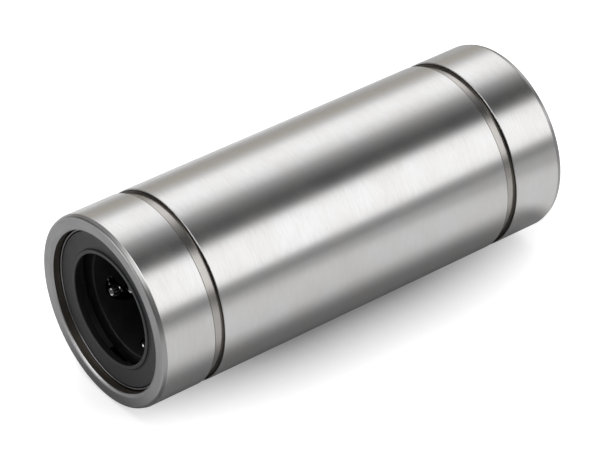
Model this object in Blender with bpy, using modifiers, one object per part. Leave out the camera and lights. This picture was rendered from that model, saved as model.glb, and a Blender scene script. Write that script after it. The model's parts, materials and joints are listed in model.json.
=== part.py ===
"""Long closed linear ball bearing.

A ground steel sleeve holds two ball cages in tandem. Each cage carries five closed
circuits of balls, a split ring keeps it in the sleeve and a cased lip seal closes the end.
The bearing lies along world X, with its centre at the origin. Units are metres.
"""
import math

import bmesh
import bpy
from mathutils import Matrix, Vector

# Main sizes
SHAFT_DIAMETER = 0.016
BODY_DIAMETER = 0.028
BODY_LENGTH = 0.070
BALL_DIAMETER = 0.002778

# Retaining ring grooves and edges of the sleeve
GROOVE_SPAN = 0.053
GROOVE_WIDTH = 0.0016
GROOVE_DIAMETER = 0.027
FACE_CHAMFER_RADIAL = 0.00022
FACE_CHAMFER_AXIAL = 0.0007
MOUTH_CHAMFER_RADIAL = 0.00033
MOUTH_CHAMFER_AXIAL = 0.00025

# Steps inside the sleeve
RECESS_STEP = 0.00082
RING_GROOVE_STEP = 0.0007
RACE_CLEARANCE = 0.0002
RELIEF_CLEARANCE = 0.00015
RELIEF_LEAD = math.radians(2.0)

# Ball circuits, and how far the lying bearing is rolled about its axis
CIRCUITS = 5
BEARING_ROLL = math.radians(10.0)
BALL_OVERLAP = 0.00005
ROW_END_CLEARANCE = 0.0001
LANE_WALL = 0.00136

# Ball cage and the ring between the two cages
CAGE_SHAFT_CLEARANCE = 0.0003
CAGE_RACE_CLEARANCE = 0.00025
CHANNEL_CLEARANCE = 0.00018
CHANNEL_FLOOR = 0.0004
CAGE_END_WALL = 0.001
CAGE_END_CLEARANCE = 0.00015
SPACER_LENGTH = 0.003
SPACER_SHAFT_CLEARANCE = 0.0009

# Split ring that keeps a cage in the sleeve
RING_THICKNESS = 0.001
RING_CLEARANCE = 0.00015
RING_BITE = 0.0007
RING_GAP = 0.004

# Seal case, a pressed steel cup open towards the end face
SEAL_INSET = 0.00125
SEAL_WIDTH = 0.0015
SEAL_FIT = 0.00015
CASE_RIM = 0.00025
CASE_FLOOR = 0.0003
CASE_FLANGE = 0.0018

# Rubber seal inside the case
RUBBER_FIT = 0.0001
RUBBER_INSET = 0.00007
RUBBER_DISH = 0.00018
LIP_CLEARANCE = 0.00004
LIP_RISE = 0.00036
LIP_WIDTH = 0.00065
LIP_TAPER = 0.0001
LIP_ROUND = 0.00012
LIP_HEEL = 0.0004

# Facets
BODY_FACETS = 36
RING_FACETS = 24
BALL_FACETS = 6
BALL_STEPS = 4
TURN_STEPS = 5
CHANNEL_STEPS = 4
RELIEF_STEPS = 4
MERGE_DISTANCE = 0.000005
SHARP_ANGLE = math.radians(32.0)

# Radii, from the shaft outwards
SHAFT_RADIUS = SHAFT_DIAMETER / 2
BALL_RADIUS = BALL_DIAMETER / 2
BALL_PITCH = BALL_DIAMETER - BALL_OVERLAP
LOADED_RADIUS = SHAFT_RADIUS + BALL_RADIUS
CHANNEL_RADIUS = BALL_RADIUS + CHANNEL_CLEARANCE
CAGE_INNER = SHAFT_RADIUS + CAGE_SHAFT_CLEARANCE
RETURN_RADIUS = CAGE_INNER + CHANNEL_FLOOR + CHANNEL_RADIUS
RACE_RADIUS = LOADED_RADIUS + BALL_RADIUS + RACE_CLEARANCE
CAGE_OUTER = RACE_RADIUS - CAGE_RACE_CLEARANCE
RELIEF_RADIUS = RETURN_RADIUS + BALL_RADIUS + RELIEF_CLEARANCE
RECESS_RADIUS = RACE_RADIUS + RECESS_STEP
RING_GROOVE_RADIUS = RECESS_RADIUS + RING_GROOVE_STEP
BODY_RADIUS = BODY_DIAMETER / 2
GROOVE_RADIUS = GROOVE_DIAMETER / 2
RING_OUTER = RING_GROOVE_RADIUS - RING_CLEARANCE
RING_INNER = CAGE_OUTER - RING_BITE
CASE_OUTER = RECESS_RADIUS - SEAL_FIT
CASE_INNER = CASE_OUTER - CASE_RIM
RUBBER_OUTER = CASE_INNER - RUBBER_FIT
LIP_RADIUS = SHAFT_RADIUS + LIP_CLEARANCE
SPACER_INNER = SHAFT_RADIUS + SPACER_SHAFT_CLEARANCE

# Heights along the axis, from the middle of the sleeve to its end face
FACE_HEIGHT = BODY_LENGTH / 2
GROOVE_TOP = GROOVE_SPAN / 2
GROOVE_BOTTOM = GROOVE_TOP - GROOVE_WIDTH
SEAL_TOP = FACE_HEIGHT - SEAL_INSET
SEAL_BOTTOM = SEAL_TOP - SEAL_WIDTH
RUBBER_TOP = SEAL_TOP - RUBBER_INSET
RUBBER_BOTTOM = SEAL_BOTTOM + CASE_FLOOR + RUBBER_FIT
DISH_HEIGHT = RUBBER_TOP - RUBBER_DISH
LIP_TOP = DISH_HEIGHT + LIP_RISE
RING_GROOVE_TOP = SEAL_BOTTOM - RING_CLEARANCE
RING_TOP = RING_GROOVE_TOP - RING_CLEARANCE
RING_BOTTOM = RING_TOP - RING_THICKNESS
RING_GROOVE_BOTTOM = RING_BOTTOM - RING_CLEARANCE
CAGE_TOP = RING_GROOVE_BOTTOM - CAGE_END_CLEARANCE
SPACER_HEIGHT = SPACER_LENGTH / 2
CAGE_BOTTOM = SPACER_HEIGHT + CAGE_END_CLEARANCE
CIRCUIT_HEIGHT = (CAGE_TOP + CAGE_BOTTOM) / 2

# Ball circuit: two straight lanes, TURN_RADIUS to each side of its middle line. A row of
# balls can move by half a pitch each way before its end ball reaches a turn.
LANE_SPACING = 2 * CHANNEL_RADIUS + LANE_WALL
TURN_RADIUS = LANE_SPACING / 2
TURN_SPACE = TURN_RADIUS + CHANNEL_RADIUS + CAGE_END_WALL
STRAIGHT_LENGTH = CAGE_TOP - CAGE_BOTTOM - 2 * TURN_SPACE
ROW_BALLS = math.floor((STRAIGHT_LENGTH - 2 * ROW_END_CLEARANCE) / BALL_PITCH)
LANE_ANGLE = math.acos(
    (LOADED_RADIUS**2 + RETURN_RADIUS**2 - LANE_SPACING**2) / (2 * LOADED_RADIUS * RETURN_RADIUS)
)
PAIR_OFFSET = math.sqrt(TURN_RADIUS**2 - (BALL_PITCH / 2) ** 2)

# Finishes: colour, roughness, metallic
FINISHES = {
    "ground_steel": ((0.62, 0.61, 0.60, 1.0), 0.28, 1.0),
    "ball_steel": ((0.78, 0.78, 0.79, 1.0), 0.08, 1.0),
    "spring_steel": ((0.30, 0.30, 0.31, 1.0), 0.40, 1.0),
    "case_steel": ((0.50, 0.50, 0.51, 1.0), 0.30, 1.0),
    "black_rubber": ((0.03, 0.03, 0.032, 1.0), 0.60, 0.0),
    "dark_resin": ((0.04, 0.04, 0.045, 1.0), 0.45, 0.0),
}


def clear_scene():
    for ob in list(bpy.data.objects):
        bpy.data.objects.remove(ob)


def make_collection(name):
    collection = bpy.data.collections.new(name)
    bpy.context.scene.collection.children.link(collection)
    return collection


def make_material(name):
    colour, roughness, metallic = FINISHES[name]
    material = bpy.data.materials.new(name)
    material.use_nodes = True
    shader = material.node_tree.nodes["Principled BSDF"]
    shader.inputs["Base Color"].default_value = colour
    shader.inputs["Roughness"].default_value = roughness
    shader.inputs["Metallic"].default_value = metallic
    material.diffuse_color = colour
    return material


def add_empty(name, parent, matrix):
    empty = bpy.data.objects.new(name, None)
    PARTS.objects.link(empty)
    empty.parent = parent
    empty.matrix_local = matrix
    empty.empty_display_size = BALL_DIAMETER
    return empty


def add_part(name, mesh, parent, matrix=None):
    ob = bpy.data.objects.new(name, mesh)
    PARTS.objects.link(ob)
    ob.parent = parent
    ob.matrix_local = matrix or Matrix.Identity(4)


def take_mesh(ob, finish):
    """The finished mesh of a piece, for one or more parts to share."""
    mesh = ob.data
    bpy.data.objects.remove(ob)
    mesh.materials.clear()
    mesh.materials.append(MATERIALS[finish])
    mesh.shade_smooth()
    mesh.set_sharp_from_angle(angle=SHARP_ANGLE)
    return mesh


def settle(ob):
    """Turn what the modifiers make into the object's own mesh."""
    graph = bpy.context.evaluated_depsgraph_get()
    mesh = bpy.data.meshes.new_from_object(ob.evaluated_get(graph))
    ob.modifiers.clear()
    ob.data = mesh


def mesh_from_curve(curve_ob, collection):
    """A mesh object in place of a curve, with its caps welded on."""
    graph = bpy.context.evaluated_depsgraph_get()
    mesh = bpy.data.meshes.new_from_object(curve_ob.evaluated_get(graph))
    welded = bmesh.new()
    welded.from_mesh(mesh)
    bmesh.ops.remove_doubles(welded, verts=welded.verts, dist=MERGE_DISTANCE)
    welded.to_mesh(mesh)
    welded.free()
    name = curve_ob.name
    place = curve_ob.matrix_world.copy()
    bpy.data.objects.remove(curve_ob)
    ob = bpy.data.objects.new(name, mesh)
    ob.matrix_world = place
    collection.objects.link(ob)
    return ob


def turned(name, outline, facets, closed=True):
    """Spin an outline of (radius, height) points about the Z axis."""
    points = [(radius, 0.0, height) for radius, height in outline]
    edges = [(i, i + 1) for i in range(len(points) - 1)]
    if closed:
        edges.append((len(points) - 1, 0))
    mesh = bpy.data.meshes.new(name)
    mesh.from_pydata(points, edges, [])
    ob = bpy.data.objects.new(name, mesh)
    PARTS.objects.link(ob)
    screw = ob.modifiers.new("turning", "SCREW")
    screw.axis = "Z"
    screw.angle = 2 * math.pi
    screw.steps = facets
    screw.render_steps = facets
    screw.use_merge_vertices = True
    screw.merge_threshold = MERGE_DISTANCE
    settle(ob)
    return ob


def hide_cutter(ob):
    ob.hide_render = True
    ob.display_type = "WIRE"


def cut(ob, cutters):
    """Take every cutter out of an object whose place is already set."""
    for cutter in cutters:
        hide_cutter(cutter)
        boolean = ob.modifiers.new(cutter.name, "BOOLEAN")
        boolean.operation = "DIFFERENCE"
        boolean.solver = "EXACT"
        boolean.object = cutter
    settle(ob)


def flat_cutter(name, outline, thickness):
    """A closed outline in the XY plane, thickened evenly to both sides of the plane."""
    curve = bpy.data.curves.new(name, "CURVE")
    curve.dimensions = "2D"
    curve.fill_mode = "BOTH"
    curve.extrude = thickness / 2
    spline = curve.splines.new("POLY")
    spline.points.add(len(outline) - 1)
    for point, (x, y) in zip(spline.points, outline):
        point.co = (x, y, 0.0, 1.0)
    spline.use_cyclic_u = True
    ob = bpy.data.objects.new(name, curve)
    CUTTERS.objects.link(ob)
    return mesh_from_curve(ob, CUTTERS)


def arc(radius, start, end, steps):
    angles = [start + (end - start) * i / steps for i in range(steps + 1)]
    return [(radius * math.cos(a), radius * math.sin(a)) for a in angles]


def circuit_turn(number):
    return Matrix.Rotation(2 * math.pi * number / CIRCUITS, 4, "Z")


def circuit_matrix(number):
    """Frame of one circuit: X along its rows, Y from loaded to return lane, Z outwards."""
    returning = Vector((RETURN_RADIUS, 0.0, CIRCUIT_HEIGHT))
    loaded = Matrix.Rotation(LANE_ANGLE, 4, "Z") @ Vector((LOADED_RADIUS, 0.0, CIRCUIT_HEIGHT))
    along = Vector((0.0, 0.0, 1.0))
    across = (returning - loaded).normalized()
    frame = Matrix((along, across, along.cross(across))).transposed().to_4x4()
    frame.translation = (loaded + returning) / 2
    return circuit_turn(number) @ frame


def both_ends(upper):
    """Complete an outline that runs down the upper half of a symmetric section."""
    return upper + [(radius, -height) for radius, height in reversed(upper)]


def sleeve_mesh():
    outside = both_ends([
        (RECESS_RADIUS + MOUTH_CHAMFER_RADIAL, FACE_HEIGHT),
        (BODY_RADIUS - FACE_CHAMFER_RADIAL, FACE_HEIGHT),
        (BODY_RADIUS, FACE_HEIGHT - FACE_CHAMFER_AXIAL),
        (BODY_RADIUS, GROOVE_TOP),
        (GROOVE_RADIUS, GROOVE_TOP),
        (GROOVE_RADIUS, GROOVE_BOTTOM),
        (BODY_RADIUS, GROOVE_BOTTOM),
    ])
    inside = both_ends([
        (RECESS_RADIUS, FACE_HEIGHT - MOUTH_CHAMFER_AXIAL),
        (RECESS_RADIUS, RING_GROOVE_TOP),
        (RING_GROOVE_RADIUS, RING_GROOVE_TOP),
        (RING_GROOVE_RADIUS, RING_GROOVE_BOTTOM),
        (RACE_RADIUS, RING_GROOVE_BOTTOM),
    ])
    sleeve = turned("outer_sleeve", outside + inside[::-1], BODY_FACETS)
    cut(sleeve, [relief_cutter(number) for number in range(CIRCUITS)])
    return take_mesh(sleeve, "ground_steel")


def relief_cutter(number):
    """Bar that opens the race over one pair of return lanes, from ring groove to ring groove."""
    half_width = LANE_ANGLE / 2 + RELIEF_LEAD
    outline = arc(RELIEF_RADIUS, -half_width, half_width, RELIEF_STEPS)
    outline += arc(LOADED_RADIUS, half_width, -half_width, 1)
    cutter = flat_cutter(f"relief_cutter_{number + 1}", outline, RING_TOP + RING_BOTTOM)
    cutter.data.transform(circuit_turn(number))
    return cutter


def racetrack():
    """Middle line of a circuit in its own plane, as a closed run of points."""
    points = []
    for end in (1, -1):
        for x, y in arc(TURN_RADIUS, -math.pi / 2, math.pi / 2, TURN_STEPS):
            points.append((end * (STRAIGHT_LENGTH / 2 + x), end * y))
    return points


def channel_profile():
    """Section of the ball channel: a round floor with straight sides that open outwards."""
    floor = arc(CHANNEL_RADIUS, 2 * math.pi, math.pi, CHANNEL_STEPS)
    outline = floor + [(-CHANNEL_RADIUS, BALL_DIAMETER), (CHANNEL_RADIUS, BALL_DIAMETER)]
    curve = bpy.data.curves.new("channel_profile", "CURVE")
    curve.dimensions = "2D"
    spline = curve.splines.new("POLY")
    spline.points.add(len(outline) - 1)
    for point, (x, y) in zip(spline.points, outline):
        point.co = (x, y, 0.0, 1.0)
    spline.use_cyclic_u = True
    profile = bpy.data.objects.new("channel_profile", curve)
    CUTTERS.objects.link(profile)
    return profile


def channel_cutter():
    """The space that the balls of one circuit need, in the circuit's own frame."""
    profile = channel_profile()
    curve = bpy.data.curves.new("channel_cutter_1", "CURVE")
    curve.dimensions = "3D"
    curve.twist_mode = "Z_UP"
    curve.bevel_mode = "OBJECT"
    curve.bevel_object = profile
    track = racetrack()
    spline = curve.splines.new("POLY")
    spline.points.add(len(track) - 1)
    for point, (x, y) in zip(spline.points, track):
        point.co = (x, y, 0.0, 1.0)
    spline.use_cyclic_u = True
    ob = bpy.data.objects.new("channel_cutter_1", curve)
    CUTTERS.objects.link(ob)
    cutter = mesh_from_curve(ob, CUTTERS)
    bpy.data.objects.remove(profile)
    return cutter


def channel_cutters():
    first = channel_cutter()
    first.matrix_world = circuit_matrix(0)
    cutters = [first]
    for number in range(1, CIRCUITS):
        copy = bpy.data.objects.new(f"channel_cutter_{number + 1}", first.data)
        copy.matrix_world = circuit_matrix(number)
        CUTTERS.objects.link(copy)
        cutters.append(copy)
    return cutters


def cage_mesh():
    """Resin cage with one racetrack channel for each circuit."""
    cage = turned("ball_cage", [
        (CAGE_OUTER, CAGE_TOP),
        (CAGE_OUTER, CAGE_BOTTOM),
        (CAGE_INNER, CAGE_BOTTOM),
        (CAGE_INNER, CAGE_TOP),
    ], BODY_FACETS)
    cut(cage, channel_cutters())
    return take_mesh(cage, "dark_resin")


def spacer_mesh():
    spacer = turned("spacer", both_ends([(CAGE_OUTER, SPACER_HEIGHT)])
                    + both_ends([(SPACER_INNER, SPACER_HEIGHT)])[::-1], RING_FACETS)
    return take_mesh(spacer, "dark_resin")


def snap_ring_mesh():
    """Flat split ring that rests in the sleeve's inner groove and covers the cage's rim."""
    ring = turned("snap_ring", [
        (RING_OUTER, RING_TOP),
        (RING_OUTER, RING_BOTTOM),
        (RING_INNER, RING_BOTTOM),
        (RING_INNER, RING_TOP),
    ], RING_FACETS)
    gap_reach = RING_OUTER + RING_GAP
    edge = RING_GAP / 2
    corners = [(0.0, -edge), (gap_reach, -edge), (gap_reach, edge), (0.0, edge)]
    gap = flat_cutter("ring_gap_cutter", corners, 2 * FACE_HEIGHT)
    cut(ring, [gap])
    return take_mesh(ring, "spring_steel")


def seal_case_mesh():
    """Pressed cup: a rim against the sleeve and a flange behind the rubber."""
    case = turned("seal_case", [
        (CASE_OUTER, SEAL_TOP),
        (CASE_OUTER, SEAL_BOTTOM),
        (CASE_INNER - CASE_FLANGE, SEAL_BOTTOM),
        (CASE_INNER - CASE_FLANGE, SEAL_BOTTOM + CASE_FLOOR),
        (CASE_INNER, SEAL_BOTTOM + CASE_FLOOR),
        (CASE_INNER, SEAL_TOP),
    ], BODY_FACETS)
    return take_mesh(case, "case_steel")


def lip_seal_mesh():
    """Rubber disc with a dished face and a raised lip round the shaft."""
    seal = turned("lip_seal", [
        (RUBBER_OUTER, RUBBER_TOP),
        (RUBBER_OUTER, RUBBER_BOTTOM),
        (LIP_RADIUS + LIP_HEEL, RUBBER_BOTTOM),
        (LIP_RADIUS, LIP_TOP - LIP_ROUND),
        (LIP_RADIUS + LIP_ROUND, LIP_TOP),
        (LIP_RADIUS + LIP_WIDTH - LIP_TAPER, LIP_TOP),
        (LIP_RADIUS + LIP_WIDTH, DISH_HEIGHT),
    ], BODY_FACETS)
    return take_mesh(seal, "black_rubber")


def ball_group_mesh(centres):
    """Neighbouring balls on a straight line, first to last, that only just run together."""
    neck = math.acos(BALL_PITCH / BALL_DIAMETER)
    outline = []
    for centre in centres:
        start = 0.0 if centre == centres[0] else neck
        end = math.pi if centre == centres[-1] else math.pi - neck
        points = arc(BALL_RADIUS, start, end, BALL_STEPS)
        if outline:
            points = points[1:]
        outline += [(max(radius, 0.0), centre + height) for height, radius in points]
    balls = turned("ball_group", outline, BALL_FACETS, closed=False)
    return take_mesh(balls, "ball_steel")


def build_circuit(side, number, half, row, pair):
    """Ball groups of one circuit, each under the empty or origin that it moves about."""
    name = f"{side}_circuit_{number + 1}"
    circuit = add_empty(name, half, circuit_matrix(number))
    along = Matrix.Rotation(math.pi / 2, 4, "Y")
    across = Matrix.Rotation(-math.pi / 2, 4, "X")
    for lane, y in (("loaded", -TURN_RADIUS), ("return", TURN_RADIUS)):
        add_part(f"{name}_{lane}_balls", row, circuit, Matrix.Translation((0.0, y, 0.0)) @ along)
    for turn, end in (("outer", 1), ("inner", -1)):
        centre = Matrix.Translation((end * STRAIGHT_LENGTH / 2, 0.0, 0.0))
        pivot = add_empty(f"{name}_{turn}_turn_pivot", circuit, centre)
        offset = Matrix.Translation((end * PAIR_OFFSET, 0.0, 0.0))
        add_part(f"{name}_{turn}_turn_balls", pair, pivot, offset @ across)


def build_end(side, half, pieces, row, pair):
    for label, mesh in pieces.items():
        add_part(f"{side}_{label}", mesh, half)
    for number in range(CIRCUITS):
        build_circuit(side, number, half, row, pair)


def build_bearing():
    lying = Matrix.Rotation(math.pi / 2, 4, "Y") @ Matrix.Rotation(BEARING_ROLL, 4, "Z")
    bearing = add_empty("bearing_axis", None, lying)
    add_part("outer_sleeve", sleeve_mesh(), bearing)
    add_part("middle_spacer_ring", spacer_mesh(), bearing)
    pieces = {
        "ball_cage": cage_mesh(),
        "snap_ring": snap_ring_mesh(),
        "seal_case": seal_case_mesh(),
        "lip_seal": lip_seal_mesh(),
    }
    row_half = (ROW_BALLS - 1) * BALL_PITCH / 2
    row = ball_group_mesh([row_half - ball * BALL_PITCH for ball in range(ROW_BALLS)])
    pair = ball_group_mesh([BALL_PITCH / 2, -BALL_PITCH / 2])
    front = add_empty("front_half", bearing, Matrix.Rotation(math.pi, 4, "X"))
    rear = add_empty("rear_half", bearing, Matrix.Identity(4))
    build_end("front", front, pieces, row, pair)
    build_end("rear", rear, pieces, row, pair)


clear_scene()
PARTS = make_collection("linear_bearing")
CUTTERS = make_collection("linear_bearing_cutters")
MATERIALS = {name: make_material(name) for name in FINISHES}
build_bearing()
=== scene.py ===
"""Looks of a long closed linear ball bearing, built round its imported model.

Every solid of the model is replaced by a finely turned or moulded mesh in the same place.
The bearing's axis is world X and its front end faces -X. Units are metres.
"""
import json
import math

import bmesh
import bpy
from mathutils import Matrix, Quaternion, Vector

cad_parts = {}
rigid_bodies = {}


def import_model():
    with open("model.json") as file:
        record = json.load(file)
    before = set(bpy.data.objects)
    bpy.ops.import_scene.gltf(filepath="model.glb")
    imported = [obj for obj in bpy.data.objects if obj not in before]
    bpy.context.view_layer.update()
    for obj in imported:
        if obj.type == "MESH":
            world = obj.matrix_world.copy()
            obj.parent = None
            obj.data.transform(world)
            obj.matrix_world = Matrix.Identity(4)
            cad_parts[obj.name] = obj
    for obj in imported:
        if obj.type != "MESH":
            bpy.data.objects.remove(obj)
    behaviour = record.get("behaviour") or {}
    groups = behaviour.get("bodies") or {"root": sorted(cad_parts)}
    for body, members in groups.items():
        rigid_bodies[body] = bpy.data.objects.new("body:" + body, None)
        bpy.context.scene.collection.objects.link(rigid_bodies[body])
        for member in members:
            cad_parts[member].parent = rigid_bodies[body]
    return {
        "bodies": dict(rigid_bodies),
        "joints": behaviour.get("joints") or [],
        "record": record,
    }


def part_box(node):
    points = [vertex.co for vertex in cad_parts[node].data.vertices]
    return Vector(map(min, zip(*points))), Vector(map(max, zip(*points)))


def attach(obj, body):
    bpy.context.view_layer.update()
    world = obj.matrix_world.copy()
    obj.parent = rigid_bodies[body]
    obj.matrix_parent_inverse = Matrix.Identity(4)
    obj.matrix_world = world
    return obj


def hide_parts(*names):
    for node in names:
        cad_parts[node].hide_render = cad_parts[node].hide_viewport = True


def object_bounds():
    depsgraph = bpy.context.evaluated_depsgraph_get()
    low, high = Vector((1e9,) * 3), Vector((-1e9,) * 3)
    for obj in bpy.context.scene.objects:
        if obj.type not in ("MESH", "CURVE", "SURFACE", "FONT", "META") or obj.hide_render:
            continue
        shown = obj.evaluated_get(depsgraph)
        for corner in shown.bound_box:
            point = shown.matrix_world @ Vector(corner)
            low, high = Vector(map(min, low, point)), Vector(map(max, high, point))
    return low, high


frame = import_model()
CAD_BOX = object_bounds()

# Sizes that the solids have too and that their boxes don't give
GROOVE_INSET = 0.0085
GROOVE_WIDTH = 0.0016
GROOVE_DEPTH = 0.0005
FACE_CHAMFER_RADIAL = 0.00022
FACE_CHAMFER_AXIAL = 0.0007
MOUTH_CHAMFER_RADIAL = 0.00033
MOUTH_CHAMFER_AXIAL = 0.00025
SEAL_FIT = 0.00015
RING_CLEARANCE = 0.00015
CAGE_RACE_CLEARANCE = 0.00025
RELIEF_DEPTH = 0.00083
RELIEF_HALF_ANGLE = math.radians(15.0)
BEARING_ROLL = math.radians(10.0)
CASE_RIM = 0.00025
CASE_FLOOR = 0.0003
CASE_FLANGE = 0.0018
RUBBER_INSET = 0.00007
RUBBER_DISH = 0.00018
SHAFT_RADIUS = 0.008
LIP_CLEARANCE = 0.00004
LIP_WIDTH = 0.00065
LIP_HEEL = 0.0004
RING_BITE = 0.0007
RING_GAP = 0.004
CAGE_SHAFT_CLEARANCE = 0.0003
SPACER_SHAFT_CLEARANCE = 0.0009
BALL_DIAMETER = 0.002778
BALL_GAP = 0.000004
TURN_BALLS = 2
CIRCUIT_BODIES = 4
CHANNEL_CLEARANCE = 0.00018

# Roundings of edges, which the solids leave sharp
FACE_ROUND = 0.00028
CHAMFER_ROUND = 0.0003
GROOVE_EDGE = 0.0001
GROOVE_CORNER = 0.00014
MOUTH_ROUND = 0.0007
MOUTH_EDGE = 0.00008
RECESS_CORNER = 0.0001
CASE_ROLL = 0.00011
CASE_BEND = 0.00014
RUBBER_ROUND = 0.0001
LIP_EDGE = 0.00014
LIP_FOOT = 0.0002
RING_EDGE = 0.00008
CAGE_EDGE = 0.0002
SPACER_EDGE = 0.00015

# Fineness of the meshes. The margin beside a rounding keeps the flat next to it flat, and
# the cages' channels have their own steps along a turn and across the floor.
BODY_SEGMENTS = 360
RING_SEGMENTS = 192
ROUND_STEPS = 5
EDGE_MARGIN = 0.00003
TURN_STEPS = 20
CHANNEL_STEPS = 14
BALL_SEGMENTS = 32
SHARP_ANGLE = math.radians(38.0)
WELD = 0.0000001

# Camera, fitted to the photograph's 600 by 450 pixels
CAMERA_AZIMUTH = math.radians(-38.62)
CAMERA_ELEVATION = math.radians(35.71)
CAMERA_ROLL = math.radians(0.63)
CAMERA_TARGET = Vector((-0.001045, 0.00033, -0.00053))
CAMERA_DISTANCE = 0.4448
CAMERA_LENS = 191.65
CAMERA_SENSOR = 36.0
CAMERA_CLIP = (0.04448, 60.0)

# Studio, whose walls and softboxes run along the bearing. Each band is its angle from
# overhead towards the camera's side, in degrees, and its level. One row of bands lies past
# the rear end and the other over the front end, with a dark room before it.
STUDIO_STRENGTH = 1.45
REAR_BANDS = (
    (-180, 0.3), (-92, 0.3), (-72, 0.34), (-64, 0.5), (-52, 0.95), (-34, 0.95), (-22, 0.72),
    (-9, 0.25), (2, 0.1), (10, 0.03), (22, 0.03), (34, 1.0), (72, 1.0), (77, 0.2),
    (86, 0.14), (94, 0.4), (180, 0.4),
)
FRONT_BANDS = (
    (-180, 0.12), (-65, 0.12), (-40, 0.18), (-20, 0.4), (-4, 0.75), (20, 0.8), (32, 0.4),
    (44, 0.22), (71, 0.13), (180, 0.13),
)
# The wall low down behind the bearing is warmer
WARM_LIMIT = -70
WARM_WALL = (1.05, 1.0, 0.9)
WHITE_WALL = (1.0, 1.0, 1.0)
# Each fade is the X of the directions where its row of bands starts to show and is full
REAR_FADE = (0.02, 0.25)
FRONT_FADE = (-0.42, -0.3)
ROOM_LEVEL = 0.07
# Each panel is its direction, its angular radius and its level. Its edge is a share of the
# radius over which it fades to each side.
PANELS = (
    ((-0.93, 0.33, 0.15), math.radians(20.0), 2.0),
    ((-0.12, -0.36, 0.92), math.radians(18.0), 1.35),
    ((-0.5, -0.3, 0.8), math.radians(6.0), 1.0),
)
PANEL_EDGE = 0.3
BACKGROUND = (1.0, 1.0, 1.0, 1.0)
FLOOR_SIZE = 6.0
FLOOR_COLOUR = (0.82, 0.82, 0.82, 1.0)
# The floor glows white but for a painted soft shadow, and the steel mirrors it darker
# beneath the bearing and far off: painted shade in its reflections. Each fade is where it
# starts and is full, measured from a line along the axis. A line is its middle, its half
# length and how fast it counts past its ends.
SHADOW_LINE = ((0.003, -0.002), 0.006, 0.47)
METAL_LINE = ((0.0, 0.0), 0.035, 4.0)
CAMERA_GLOW = 0.8
CAMERA_FADE = (-0.0015, 0.024)
METAL_GLOW = 0.25
METAL_NEAR_FADE = (0.014, 0.028)
METAL_FAR_FADE = (0.09, 0.22)
METAL_FAR_LOSS = 0.55
METAL_PAINTED_SHADE = (0.37, 0.37, 0.37, 1.0)

# Noise in the finishes: the range that it mostly keeps to, its fineness, and its sizes
NOISE_RANGE = (0.3, 0.7)
COARSE_DETAIL = 3.0
FINE_DETAIL = 4.0
STAIN_SIZE = 0.006
SCUFF_SIZE = 0.0004
SCUFF_DEPTH = 0.0000005
# How many times longer than wide a tool mark is, and wider than its grain a cloud is
STREAK_LENGTH = 18
CLOUD_RATIO = 20


def reach(node):
    """Lowest and highest place along the axis and the outer radius of a turned solid."""
    low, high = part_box(node)
    return low.x, high.x, high.y


def add(tree, kind, inputs=None, **settings):
    """A new node, whose inputs are values or the outputs of other nodes."""
    node = tree.nodes.new("ShaderNode" + kind)
    for name, value in settings.items():
        setattr(node, name, value)
    for socket, value in (inputs or {}).items():
        if isinstance(value, bpy.types.NodeSocket):
            tree.links.new(value, node.inputs[socket])
        else:
            node.inputs[socket].default_value = value
    return node


def new_finish(name, metallic, specular=0.5):
    material = bpy.data.materials.new(name)
    material.use_nodes = True
    tree = material.node_tree
    shader = tree.nodes["Principled BSDF"]
    shader.inputs["Metallic"].default_value = metallic
    shader.inputs["Specular IOR Level"].default_value = specular
    return material, tree, shader


def lathe_noise(tree, across):
    """Noise drawn out round the X axis, as a lathe or a grinding wheel leaves its marks."""
    around = STREAK_LENGTH * across
    place = add(tree, "TexCoord").outputs["Object"]
    parts = add(tree, "SeparateXYZ", {0: place}).outputs
    off_axis = add(tree, "CombineXYZ", {1: parts[1], 2: parts[2]}).outputs[0]
    radius = add(tree, "VectorMath", {0: off_axis}, operation="LENGTH").outputs["Value"]
    scaled = add(tree, "VectorMath", {0: place, 1: (1 / across, 1 / around, 1 / around)},
                 operation="MULTIPLY").outputs[0]
    outwards = add(tree, "Math", {0: radius, 1: 1 / across}, operation="MULTIPLY").outputs[0]
    noise = add(tree, "TexNoise", {"Vector": scaled, "W": outwards, "Scale": 1.0,
                                   "Detail": COARSE_DETAIL}, noise_dimensions="4D")
    return noise.outputs[0]


def cloud_noise(tree, size, detail):
    place = add(tree, "TexCoord").outputs["Object"]
    noise = add(tree, "TexNoise", {"Vector": place, "Scale": 1 / size, "Detail": detail})
    return noise.outputs[0]


def spread(tree, value, low, high):
    """Stretch a noise value, which stays near its middle, over a range."""
    least, most = NOISE_RANGE
    ranged = add(tree, "MapRange", {0: value, 1: least, 2: most, 3: low, 4: high})
    return ranged.outputs[0]


def fade_in(tree, value, low, high):
    faded = add(tree, "MapRange", {0: value, 1: low, 2: high}, interpolation_type="SMOOTHSTEP")
    return faded.outputs[0]


def shade_between(tree, factor, deep, pale):
    """A colour between two, which are the mix node's inputs 6 and 7 with output 2."""
    mixed = add(tree, "Mix", {0: factor, 6: deep, 7: pale}, data_type="RGBA")
    return mixed.outputs[2]


def add_bump(tree, shader, height, depth):
    bump = add(tree, "Bump", {"Height": height, "Strength": 1.0, "Distance": depth})
    tree.links.new(bump.outputs[0], shader.inputs["Normal"])


def set_look(tree, shader, noise, deep, pale, rough):
    """Let noise run from deep to pale colour and from the first to the second roughness."""
    colour = shade_between(tree, spread(tree, noise, 0.0, 1.0), deep, pale)
    tree.links.new(colour, shader.inputs["Base Color"])
    tree.links.new(spread(tree, noise, *rough), shader.inputs["Roughness"])


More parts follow.
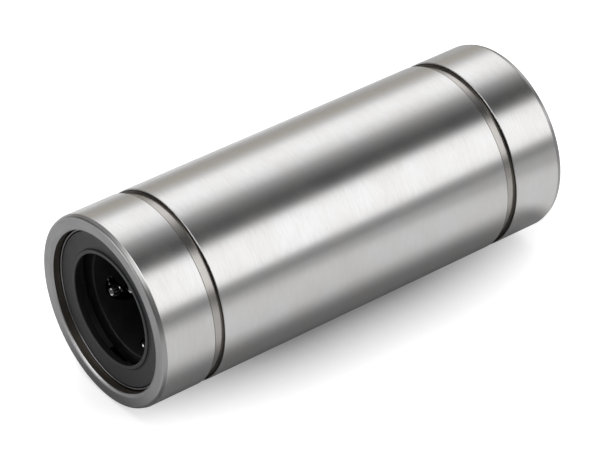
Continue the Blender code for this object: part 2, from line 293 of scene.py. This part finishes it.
def turned_steel(name, deep, pale, rough, marks, depth):
    """Steel with tool marks round its axis, which is smoother where it is paler."""
    material, tree, shader = new_finish(name, 1.0)
    lines = lathe_noise(tree, marks)
    stain = cloud_noise(tree, STAIN_SIZE, COARSE_DETAIL)
    tone = add(tree, "Math", {0: lines, 1: stain}, operation="ADD").outputs[0]
    half = add(tree, "Math", {0: tone, 1: 0.5}, operation="MULTIPLY").outputs[0]
    set_look(tree, shader, half, deep, pale, rough[::-1])
    add_bump(tree, shader, lines, depth)
    return material


def polished_steel(name, deep, pale, rough):
    """Ball steel: nearly a mirror, with a few faint scuffs."""
    material, tree, shader = new_finish(name, 1.0)
    scuffs = cloud_noise(tree, SCUFF_SIZE, FINE_DETAIL)
    set_look(tree, shader, scuffs, deep, pale, rough)
    add_bump(tree, shader, scuffs, SCUFF_DEPTH)
    return material


def moulded(name, deep, pale, rough, grain, depth):
    """Rubber or resin with a fine moulded skin and slightly uneven gloss."""
    material, tree, shader = new_finish(name, 0.0)
    skin = cloud_noise(tree, grain, FINE_DETAIL)
    clouds = cloud_noise(tree, CLOUD_RATIO * grain, COARSE_DETAIL)
    set_look(tree, shader, clouds, deep, pale, rough)
    add_bump(tree, shader, skin, depth)
    return material


# Steel has its deep and pale colour, its low and high roughness, and the width and depth of
# its tool marks. Rubber and resin have the size and depth of their grain in place of these.
FINISHES = {
    "ground": turned_steel("ground_outside", (0.6, 0.588, 0.572, 1), (0.662, 0.662, 0.672, 1),
                           (0.2, 0.26), 0.00011, 0.0000013),
    # The end face and chamfers are darker copies of the sleeve's steel: painted shade for the
    # dimmer light they reflect
    "face": turned_steel("end_face_painted_shade", (0.32, 0.315, 0.32, 1), (0.39, 0.385, 0.39, 1),
                         (0.4, 0.5), 0.00012, 0.000001),
    "chamfer": turned_steel("chamfer_painted_shade", (0.34, 0.335, 0.335, 1), (0.39, 0.385, 0.385, 1),
                            (0.25, 0.34), 0.00008, 0.0000006),
    # The groove's floor is painted darker and warmer than the outside, and its walls near black:
    # painted shade in the groove
    "groove": turned_steel("turned_groove", (0.4, 0.38, 0.36, 1), (0.48, 0.46, 0.44, 1),
                           (0.2, 0.28), 0.0001, 0.0000008),
    "groove_wall": turned_steel("turned_groove_wall", (0.1, 0.09, 0.08, 1),
                                (0.15, 0.135, 0.12, 1), (0.3, 0.4), 0.0001, 0.0000008),
    # The recess and the ring groove are painted darker than the outside: painted shade in the
    # recess
    "recess": turned_steel("recess_painted_shade", (0.24, 0.21, 0.18, 1), (0.32, 0.28, 0.24, 1),
                           (0.3, 0.4), 0.00012, 0.0000015),
    "race": turned_steel("ground_race", (0.6, 0.6, 0.6, 1), (0.68, 0.68, 0.68, 1),
                         (0.15, 0.22), 0.00008, 0.0000006),
    # The seal case's steel is painted dark: painted shade in the recess round the seal
    "case": turned_steel("case_steel_painted_shade", (0.2, 0.2, 0.205, 1), (0.26, 0.26, 0.265, 1),
                         (0.25, 0.35), 0.0002, 0.000001),
    # The snap ring is painted near black: painted shade in the hollow behind the seal
    "spring": turned_steel("spring_steel_painted_shade", (0.1, 0.1, 0.105, 1), (0.16, 0.16, 0.165, 1),
                           (0.4, 0.5), 0.0002, 0.000001),
    "ball": polished_steel("polished_ball_steel", (0.58, 0.58, 0.59, 1), (0.66, 0.66, 0.67, 1),
                           (0.05, 0.12)),
    "rubber": moulded("seal_rubber", (0.022, 0.022, 0.024, 1), (0.032, 0.032, 0.035, 1),
                      (0.45, 0.6), 0.0001, 0.000002),
    # The lip's inner side is painted near black: painted shade inside the lip
    "oiled_rubber": moulded("lip_rubber_painted_shade", (0.01, 0.009, 0.01, 1), (0.014, 0.013, 0.014, 1),
                            (0.6, 0.7), 0.0001, 0.000002),
    # Black resin, painted darker still: painted shade inside the bore
    "resin": moulded("black_resin_and_painted_shade", (0.022, 0.021, 0.022, 1), (0.032, 0.03, 0.032, 1),
                     (0.45, 0.6), 0.00012, 0.000002),
}


def rounded(corners):
    """Round a closed outline's corners. A corner is (height, radius, rounding, finish), and
    its finish holds for the edge that starts there."""
    outline = []
    for i, (height, radius, rounding, finish) in enumerate(corners):
        here = Vector((height, radius))
        if not rounding:
            outline.append((height, radius, finish))
            continue
        before = (Vector(corners[i - 1][:2]) - here).normalized()
        after = (Vector(corners[(i + 1) % len(corners)][:2]) - here).normalized()
        half_angle = before.angle(after) / 2
        touch = rounding / math.tan(half_angle)
        centre = here + (before + after).normalized() * rounding / math.sin(half_angle)
        first = here + before * touch
        last = here + after * touch
        points = [first + before * EDGE_MARGIN]
        for step in range(ROUND_STEPS + 1):
            outwards = (first.lerp(last, step / ROUND_STEPS) - centre).normalized()
            points.append(centre + outwards * rounding)
        points.append(last + after * EDGE_MARGIN)
        outline += [(point.x, point.y, finish) for point in points]
    return outline


def both_ends(half):
    """Complete an outline that runs from the front end to the middle with its mirror image."""
    finishes = [corner[3] for corner in half]
    mirrored = [(-height, radius, rounding, finish) for height, radius, rounding, finish in half]
    moved = finishes[:1] + finishes[:-1]
    shifted = [corner[:3] + (finish,) for corner, finish in zip(mirrored, moved)]
    return half + shifted[::-1]


def no_wave(height, radius, angle):
    return radius


def turn(name, outline, segments, wave=no_wave, gap=0.0):
    """Turn a closed outline of (height, radius, finish) points about the X axis. wave may
    change a point's radius with the angle from the bearing's underside, where gap opens it."""
    finishes = sorted({finish for _, _, finish in outline})
    shape = bmesh.new()
    rings = []
    for step in range(segments + bool(gap)):
        angle = gap / 2 + (2 * math.pi - gap) * step / segments
        ring = []
        for height, radius, _ in outline:
            away = wave(height, radius, angle)
            place = angle + BEARING_ROLL
            ring.append(shape.verts.new((height, away * math.sin(place), -away * math.cos(place))))
        rings.append(ring)
    pairs = list(zip(rings, rings[1:]))
    if gap:
        shape.faces.new(rings[0])
        shape.faces.new(rings[-1])
    else:
        pairs.append((rings[-1], rings[0]))
    for here, there in pairs:
        for i, (_, _, finish) in enumerate(outline):
            after = (i + 1) % len(outline)
            face = shape.faces.new((here[i], here[after], there[after], there[i]))
            face.material_index = finishes.index(finish)
    bmesh.ops.remove_doubles(shape, verts=shape.verts, dist=WELD)
    bmesh.ops.recalc_face_normals(shape, faces=shape.faces)
    return finish_piece(name, shape, finishes)


def finish_piece(name, shape, finishes):
    mesh = bpy.data.meshes.new(name)
    shape.to_mesh(mesh)
    shape.free()
    for finish in finishes:
        mesh.materials.append(FINISHES[finish])
    mesh.shade_smooth()
    mesh.set_sharp_from_angle(angle=SHARP_ANGLE)
    piece = bpy.data.objects.new(name, mesh)
    bpy.context.scene.collection.objects.link(piece)
    return piece


def settle(piece, node):
    """The piece stands for a solid and rides on its body."""
    body = next(b for b, nodes in frame["record"]["behaviour"]["bodies"].items() if node in nodes)
    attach(piece, body)
    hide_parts(node)


def on_side(side, corners):
    """Corners given for the front end, or their mirror image at the rear end."""
    if side == "front":
        return corners
    return [(-height, radius, rounding, finish) for height, radius, rounding, finish in corners]


FACE = reach("outer_sleeve")[0]
BODY_RADIUS = reach("outer_sleeve")[2]
SEAL_TOP, SEAL_BOTTOM, CASE_OUTER = reach("front_seal_case")
RING_TOP, RING_BOTTOM, RING_OUTER = reach("front_snap_ring")
LIP_TOP, RUBBER_BOTTOM, RUBBER_OUTER = reach("front_lip_seal")
CAGE_TOP, CAGE_BOTTOM, CAGE_OUTER = reach("front_ball_cage")
SPACER_TOP = reach("middle_spacer_ring")[0]
RECESS_RADIUS = CASE_OUTER + SEAL_FIT
RACE_RADIUS = CAGE_OUTER + CAGE_RACE_CLEARANCE
CAGE_INNER = SHAFT_RADIUS + CAGE_SHAFT_CLEARANCE
CIRCUITS = sum(body.startswith("front_") for body in frame["bodies"]) // CIRCUIT_BODIES


def relieved(height, radius, angle):
    """Radius of the race, which a wide groove over each return lane deepens."""
    lead = 2 * math.pi / CIRCUITS
    off_centre = abs((angle + lead / 2) % lead - lead / 2)
    if radius < RACE_RADIUS + WELD and off_centre < RELIEF_HALF_ANGLE + WELD:
        return radius + RELIEF_DEPTH
    return radius


def make_sleeve():
    groove_top = FACE + GROOVE_INSET
    groove_bottom = groove_top + GROOVE_WIDTH
    groove_radius = BODY_RADIUS - GROOVE_DEPTH
    ring_groove_radius = RING_OUTER + RING_CLEARANCE
    ring_groove_top = RING_TOP - RING_CLEARANCE
    ring_groove_bottom = RING_BOTTOM + RING_CLEARANCE
    half = [
        (ring_groove_bottom, RACE_RADIUS, 0.0, "race"),
        # The ring groove and the recess take the darker steel, which is painted shade
        (ring_groove_bottom, ring_groove_radius, 0.0, "recess"),
        (ring_groove_top, ring_groove_radius, 0.0, "recess"),
        (ring_groove_top, RECESS_RADIUS, RECESS_CORNER, "recess"),
        (FACE + MOUTH_CHAMFER_AXIAL, RECESS_RADIUS, MOUTH_EDGE, "chamfer"),
        (FACE, RECESS_RADIUS + MOUTH_CHAMFER_RADIAL, MOUTH_ROUND, "face"),
        (FACE, BODY_RADIUS - FACE_CHAMFER_RADIAL, FACE_ROUND, "chamfer"),
        (FACE + FACE_CHAMFER_AXIAL, BODY_RADIUS, CHAMFER_ROUND, "ground"),
        # The groove's walls take the near-black steel, which is painted shade
        (groove_top, BODY_RADIUS, GROOVE_EDGE, "groove_wall"),
        (groove_top, groove_radius, GROOVE_CORNER, "groove"),
        (groove_bottom, groove_radius, GROOVE_CORNER, "groove_wall"),
        (groove_bottom, BODY_RADIUS, GROOVE_EDGE, "ground"),
    ]
    sleeve = turn("turned_outer_sleeve", rounded(both_ends(half)), BODY_SEGMENTS, relieved)
    settle(sleeve, "outer_sleeve")


def make_seal_case(side):
    inner = CASE_OUTER - CASE_RIM
    floor = SEAL_BOTTOM - CASE_FLOOR
    case = turn(f"{side}_pressed_case", rounded(on_side(side, [
        (SEAL_TOP, CASE_OUTER, CASE_ROLL, "case"),
        (SEAL_BOTTOM, CASE_OUTER, CASE_BEND, "case"),
        (SEAL_BOTTOM, inner - CASE_FLANGE, CASE_ROLL, "case"),
        (floor, inner - CASE_FLANGE, CASE_ROLL, "case"),
        (floor, inner, 0.0, "case"),
        (SEAL_TOP, inner, CASE_ROLL, "case"),
    ])), RING_SEGMENTS)
    settle(case, f"{side}_seal_case")


def make_lip_seal(side):
    top = SEAL_TOP + RUBBER_INSET
    dish = top + RUBBER_DISH
    lip_radius = SHAFT_RADIUS + LIP_CLEARANCE
    seal = turn(f"{side}_rubber_lip_seal", rounded(on_side(side, [
        (top, RUBBER_OUTER, RUBBER_ROUND, "rubber"),
        (RUBBER_BOTTOM, RUBBER_OUTER, 0.0, "rubber"),
        # The lip's inner side takes the darker rubber, which is painted shade
        (RUBBER_BOTTOM, lip_radius + LIP_HEEL, 0.0, "oiled_rubber"),
        (LIP_TOP, lip_radius, LIP_EDGE, "rubber"),
        (LIP_TOP, lip_radius + LIP_WIDTH, LIP_EDGE, "rubber"),
        (dish, lip_radius + LIP_WIDTH, LIP_FOOT, "rubber"),
    ])), RING_SEGMENTS)
    settle(seal, f"{side}_lip_seal")


def make_snap_ring(side):
    inner = CAGE_OUTER - RING_BITE
    ring = turn(f"{side}_split_snap_ring", rounded(on_side(side, [
        (RING_TOP, RING_OUTER, RING_EDGE, "spring"),
        (RING_BOTTOM, RING_OUTER, RING_EDGE, "spring"),
        (RING_BOTTOM, inner, RING_EDGE, "spring"),
        (RING_TOP, inner, RING_EDGE, "spring"),
    ])), RING_SEGMENTS, gap=RING_GAP / RING_OUTER)
    settle(ring, f"{side}_snap_ring")


def make_spacer():
    inner = SHAFT_RADIUS + SPACER_SHAFT_CLEARANCE
    spacer = turn("turned_spacer_ring", rounded([
        (SPACER_TOP, CAGE_OUTER, SPACER_EDGE, "resin"),
        (-SPACER_TOP, CAGE_OUTER, SPACER_EDGE, "resin"),
        (-SPACER_TOP, inner, SPACER_EDGE, "resin"),
        (SPACER_TOP, inner, SPACER_EDGE, "resin"),
    ]), RING_SEGMENTS)
    settle(spacer, "middle_spacer_ring")


def circuit_frame(side, number):
    """Frame of one circuit and the half length of its straight lanes: X along the rows
    towards the end face, Y from loaded to return lane, Z outwards."""
    joints = {joint["name"]: joint for joint in frame["joints"]}
    name = f"{side}_circuit_{number}"
    outer = Vector(joints[f"{name}_outer_turn_hinge"]["pos_m"])
    inner = Vector(joints[f"{name}_inner_turn_hinge"]["pos_m"])
    outwards = Vector(joints[f"{name}_outer_turn_hinge"]["axis"])
    along = (outer - inner).normalized()
    matrix = Matrix((along, outwards.cross(along), outwards)).transposed().to_4x4()
    matrix.translation = (outer + inner) / 2
    return matrix, (outer - inner).length / 2


def channel_cutter(side, number):
    """Track of one circuit's balls: a round floor, and straight sides that open outwards."""
    matrix, straight = circuit_frame(side, number)
    low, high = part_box(f"{side}_circuit_{number}_loaded_balls")
    turn_radius = abs((matrix.inverted() @ ((low + high) / 2)).y)
    radius = BALL_DIAMETER / 2 + CHANNEL_CLEARANCE
    profile = [(radius, BALL_DIAMETER)]
    for step in range(CHANNEL_STEPS + 1):
        angle = -math.pi * step / CHANNEL_STEPS
        profile.append((radius * math.cos(angle), radius * math.sin(angle)))
    profile.append((-radius, BALL_DIAMETER))
    shape = bmesh.new()
    rings = []
    for end in (1, -1):
        for step in range(TURN_STEPS + 1):
            angle = -math.pi / 2 + math.pi * step / TURN_STEPS
            across = Vector((math.cos(angle), math.sin(angle), 0.0)) * end
            middle = Vector((end * straight, 0.0, 0.0)) + across * turn_radius
            places = [middle + across * x + Vector((0.0, 0.0, z)) for x, z in profile]
            rings.append([shape.verts.new(place) for place in places])
    for here, there in zip(rings, rings[1:] + rings[:1]):
        for i in range(len(profile)):
            shape.faces.new((here[i - 1], here[i], there[i], there[i - 1]))
    bmesh.ops.recalc_face_normals(shape, faces=shape.faces)
    cutter = finish_piece(f"{side}_channel_cutter_{number}", shape, ["resin"])
    cutter.matrix_world = matrix
    return cutter


def make_cage(side):
    """Resin cage with one racetrack channel for each circuit."""
    cage = turn(f"{side}_moulded_ball_cage", rounded(on_side(side, [
        (CAGE_TOP, CAGE_OUTER, CAGE_EDGE, "resin"),
        (CAGE_BOTTOM, CAGE_OUTER, CAGE_EDGE, "resin"),
        (CAGE_BOTTOM, CAGE_INNER, CAGE_EDGE, "resin"),
        (CAGE_TOP, CAGE_INNER, CAGE_EDGE, "resin"),
    ])), RING_SEGMENTS)
    cutters = [channel_cutter(side, number) for number in range(1, CIRCUITS + 1)]
    for cutter in cutters:
        boolean = cage.modifiers.new(cutter.name, "BOOLEAN")
        boolean.operation = "DIFFERENCE"
        boolean.solver = "EXACT"
        boolean.object = cutter
    graph = bpy.context.evaluated_depsgraph_get()
    mesh = bpy.data.meshes.new_from_object(cage.evaluated_get(graph))
    cage.modifiers.clear()
    cage.data = mesh
    mesh.set_sharp_from_angle(angle=SHARP_ANGLE)
    for cutter in cutters:
        bpy.data.objects.remove(cutter)
    settle(cage, f"{side}_ball_cage")


def make_balls(node, direction):
    """The separate balls of one group, side by side along a direction."""
    low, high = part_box(node)
    span = (high - low).dot(Vector(map(abs, direction)))
    count = TURN_BALLS if node.endswith("_turn_balls") else round(span / BALL_DIAMETER)
    pitch = BALL_DIAMETER + BALL_GAP
    shape = bmesh.new()
    for ball in range(count):
        place = (low + high) / 2 + direction * (ball - (count - 1) / 2) * pitch
        bmesh.ops.create_uvsphere(shape, u_segments=BALL_SEGMENTS, v_segments=BALL_SEGMENTS // 2,
                                  radius=BALL_DIAMETER / 2, matrix=Matrix.Translation(place))
    balls = finish_piece(node.replace("_balls", "_polished_balls"), shape, ["ball"])
    settle(balls, node)


def make_circuit(side, number):
    name = f"{side}_circuit_{number}"
    matrix, _ = circuit_frame(side, number)
    for lane in ("loaded", "return"):
        make_balls(f"{name}_{lane}_balls", matrix.col[0].to_3d())
    for turn_end in ("outer", "inner"):
        make_balls(f"{name}_{turn_end}_turn_balls", matrix.col[1].to_3d())


def make_bearing():
    make_sleeve()
    make_spacer()
    for side in ("front", "rear"):
        make_seal_case(side)
        make_lip_seal(side)
        make_snap_ring(side)
        make_cage(side)
        for number in range(1, CIRCUITS + 1):
            make_circuit(side, number)


def line_distance(tree, middle, half, share):
    """Distance on the floor from a line along the axis, with a share of that past its ends."""
    place = add(tree, "TexCoord").outputs["Object"]
    offset = add(tree, "VectorMath", {0: place, 1: (*middle, 0.0)},
                 operation="SUBTRACT").outputs[0]
    parts = add(tree, "SeparateXYZ", {0: offset}).outputs
    along = add(tree, "Math", {0: parts[0]}, operation="ABSOLUTE").outputs[0]
    past_end = add(tree, "Math", {0: along, 1: half}, operation="SUBTRACT",
                   use_clamp=True).outputs[0]
    scaled = add(tree, "Math", {0: past_end, 1: share}, operation="MULTIPLY").outputs[0]
    flat = add(tree, "CombineXYZ", {0: scaled, 1: parts[1]}).outputs[0]
    return add(tree, "VectorMath", {0: flat}, operation="LENGTH").outputs["Value"]


def make_floor():
    material, tree, shader = new_finish("pale_floor", 0.0, specular=0.0)
    shader.inputs["Roughness"].default_value = 1.0
    shader.inputs["Emission Color"].default_value = BACKGROUND
    mirror_away = line_distance(tree, *METAL_LINE)
    rays = add(tree, "LightPath").outputs
    metal = add(tree, "Math", {0: rays["Is Glossy Ray"], 1: rays["Is Transmission Ray"]},
                operation="MAXIMUM").outputs[0]
    # Painted shade in reflections: the steel sees the floor darker near the bearing and far off
    near = fade_in(tree, mirror_away, *METAL_NEAR_FADE)
    far = fade_in(tree, mirror_away, *METAL_FAR_FADE)
    lit = add(tree, "Math", {0: far, 1: -METAL_FAR_LOSS, 2: near},
              operation="MULTIPLY_ADD").outputs[0]
    mirrored = shade_between(tree, lit, METAL_PAINTED_SHADE, FLOOR_COLOUR)
    tree.links.new(shade_between(tree, metal, FLOOR_COLOUR, mirrored), shader.inputs["Base Color"])
    # Painted shadow: the floor's glow is held back near the bearing
    clear = fade_in(tree, line_distance(tree, *SHADOW_LINE), *CAMERA_FADE)
    glows = []
    for ray, share, strength in ((rays["Is Camera Ray"], clear, CAMERA_GLOW),
                                 (metal, lit, METAL_GLOW)):
        shown = add(tree, "Math", {0: share, 1: ray}, operation="MULTIPLY").outputs[0]
        glows.append(add(tree, "Math", {0: shown, 1: strength}, operation="MULTIPLY").outputs[0])
    glow = add(tree, "Math", {0: glows[0], 1: glows[1]}, operation="ADD").outputs[0]
    tree.links.new(glow, shader.inputs["Emission Strength"])
    shape = bmesh.new()
    half = FLOOR_SIZE / 2
    corners = [(-half, -half), (half, -half), (half, half), (-half, half)]
    shape.faces.new([shape.verts.new((x, y, CAD_BOX[0].z)) for x, y in corners])
    mesh = bpy.data.meshes.new("studio_floor")
    shape.to_mesh(mesh)
    shape.free()
    mesh.materials.append(material)
    floor = bpy.data.objects.new("studio_floor", mesh)
    bpy.context.scene.collection.objects.link(floor)


def band_ramp(tree, place, bands):
    ramp = add(tree, "ValToRGB", {0: place})
    ramp.color_ramp.interpolation = "EASE"
    elements = ramp.color_ramp.elements
    while len(elements) < len(bands):
        elements.new(1.0)
    for element, (degrees, level) in zip(elements, bands):
        element.position = (degrees + 180) / 360
        red, green, blue = WARM_WALL if degrees < WARM_LIMIT else WHITE_WALL
        element.color = (red * level, green * level, blue * level, 1.0)
    return ramp.outputs[0]


def make_world():
    """A studio of softboxes and walls along the bearing, before a white background."""
    world = bpy.data.worlds.new("studio")
    world.use_nodes = True
    bpy.context.scene.world = world
    tree = world.node_tree
    direction = add(tree, "TexCoord").outputs["Generated"]
    parts = add(tree, "SeparateXYZ", {0: direction}).outputs
    towards = add(tree, "Math", {0: parts[1], 1: -1.0}, operation="MULTIPLY").outputs[0]
    angle = add(tree, "Math", {0: towards, 1: parts[2]}, operation="ARCTAN2").outputs[0]
    place = add(tree, "MapRange", {0: angle, 1: -math.pi, 2: math.pi}).outputs[0]
    room = (ROOM_LEVEL, ROOM_LEVEL, ROOM_LEVEL, 1.0)
    studio = shade_between(tree, fade_in(tree, parts[0], *FRONT_FADE), room,
                           band_ramp(tree, place, FRONT_BANDS))
    studio = shade_between(tree, fade_in(tree, parts[0], *REAR_FADE), studio,
                           band_ramp(tree, place, REAR_BANDS))
    for way, radius, level in PANELS:
        facing = add(tree, "VectorMath", {0: direction, 1: Vector(way).normalized()},
                     operation="DOT_PRODUCT").outputs["Value"]
        panel = fade_in(tree, facing, math.cos(radius * (1 + PANEL_EDGE)),
                        math.cos(radius * (1 - PANEL_EDGE)))
        studio = shade_between(tree, panel, studio, (level, level, level, 1.0))
    bands = add(tree, "Background", {0: studio, 1: STUDIO_STRENGTH}).outputs[0]
    white = add(tree, "Background", {0: BACKGROUND, 1: 1.0}).outputs[0]
    rays = add(tree, "LightPath").outputs
    shown = add(tree, "MixShader", {0: rays["Is Camera Ray"], 1: bands, 2: white}).outputs[0]
    tree.links.new(shown, tree.nodes["World Output"].inputs["Surface"])


def make_camera():
    data = bpy.data.cameras.new("photo_camera")
    data.lens = CAMERA_LENS
    data.sensor_width = CAMERA_SENSOR
    data.clip_start, data.clip_end = CAMERA_CLIP
    camera = bpy.data.objects.new("photo_camera", data)
    bpy.context.scene.collection.objects.link(camera)
    flat = math.cos(CAMERA_ELEVATION)
    back = Vector((math.sin(CAMERA_AZIMUTH) * flat, -math.cos(CAMERA_AZIMUTH) * flat,
                   math.sin(CAMERA_ELEVATION)))
    camera.location = CAMERA_TARGET + back * CAMERA_DISTANCE
    camera.rotation_mode = "QUATERNION"
    level = (-back).to_track_quat("-Z", "Y")
    camera.rotation_quaternion = level @ Quaternion((0.0, 0.0, 1.0), CAMERA_ROLL)
    bpy.context.scene.camera = camera


make_camera()
make_bearing()
make_floor()
make_world()
bpy.context.scene.view_settings.view_transform = "Standard"
